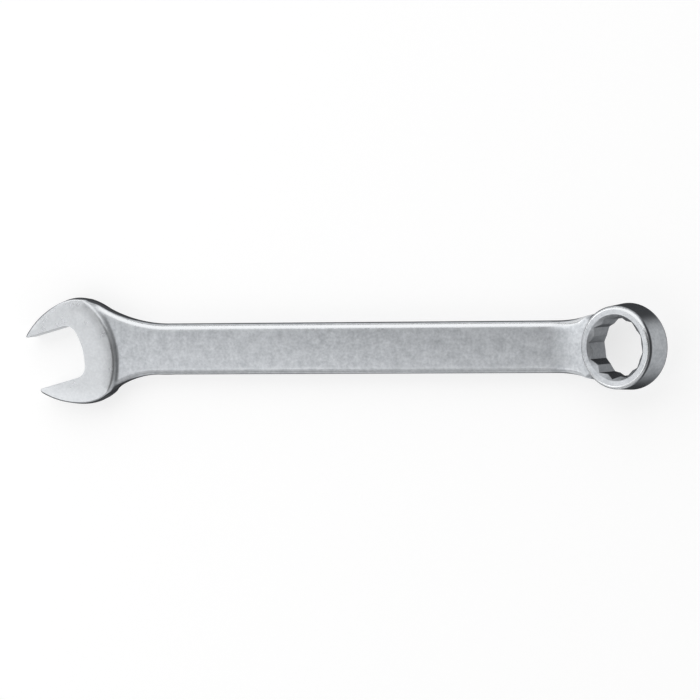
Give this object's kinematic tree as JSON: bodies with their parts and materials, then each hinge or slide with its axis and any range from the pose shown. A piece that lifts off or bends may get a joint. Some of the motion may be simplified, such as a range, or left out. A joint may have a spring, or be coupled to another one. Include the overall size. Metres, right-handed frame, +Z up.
{
  "type": "combination wrench",
  "caption": "Satin chrome combination wrench: a slanted open jaw and a tipped-up ring with a toothed bore on one flat forged shank, for turning hexagon nuts and bolts.",
  "frame": {"origin": "under the middle of the whole wrench, on the level it lies on: the back of the head and the ring's lowest edge are at z = 0", "axes": "+X along the shank from the open end to the box end, +Z up out of the front face, +Y to the side of the jaw that reaches further"},
  "size_m": [0.2416, 0.0384, 0.018],
  "materials": {
    "open_end_chrome": "satin chrome plating over a blasted forging",
    "shank_chrome": "satin chrome plating over a blasted forging",
    "box_end_chrome": "satin chrome plating over a blasted forging"
  },
  "bodies": {
    "root": {"open_end": "open_end_chrome", "shank": "shank_chrome", "box_end": "box_end_chrome"}
  },
  "joints": []
}
